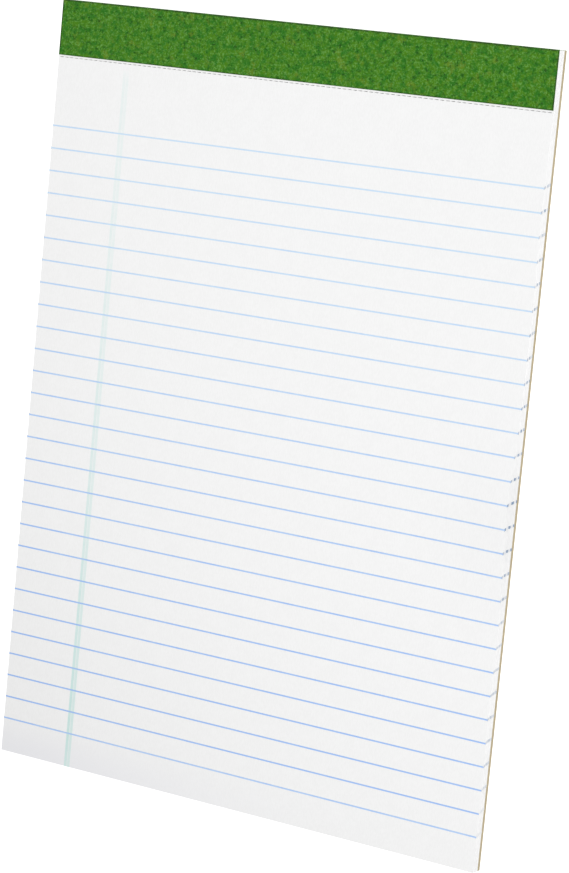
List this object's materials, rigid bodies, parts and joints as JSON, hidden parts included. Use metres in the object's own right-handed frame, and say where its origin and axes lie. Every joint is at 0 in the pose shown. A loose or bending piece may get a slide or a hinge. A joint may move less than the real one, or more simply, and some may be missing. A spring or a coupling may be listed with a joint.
{
  "type": "legal pad",
  "caption": "Perforated writing pad: ruled white leaves on a chipboard back, wire-stitched along the top under a folded green paper binding strip.",
  "frame": {"origin": "centre of the pad's footprint, on the face it lies on", "axes": "+X to the right across the page, +Y up the page to the bound edge, +Z out of the front page"},
  "size_m": [0.216, 0.2986, 0.0055],
  "materials": {
    "sheets": "matt uncoated white writing paper",
    "board": "raw pale tan chipboard with loose fibres",
    "tape": "green mottled binding paper, matt with a faint sheen",
    "wire": "bright galvanised stitching wire"
  },
  "bodies": {
    "root": {"sheets": "sheets", "backing_board": "board", "binding_tape": "tape", "stitch_1": "wire", "stitch_2": "wire", "stitch_3": "wire", "stitch_4": "wire"}
  },
  "joints": []
}
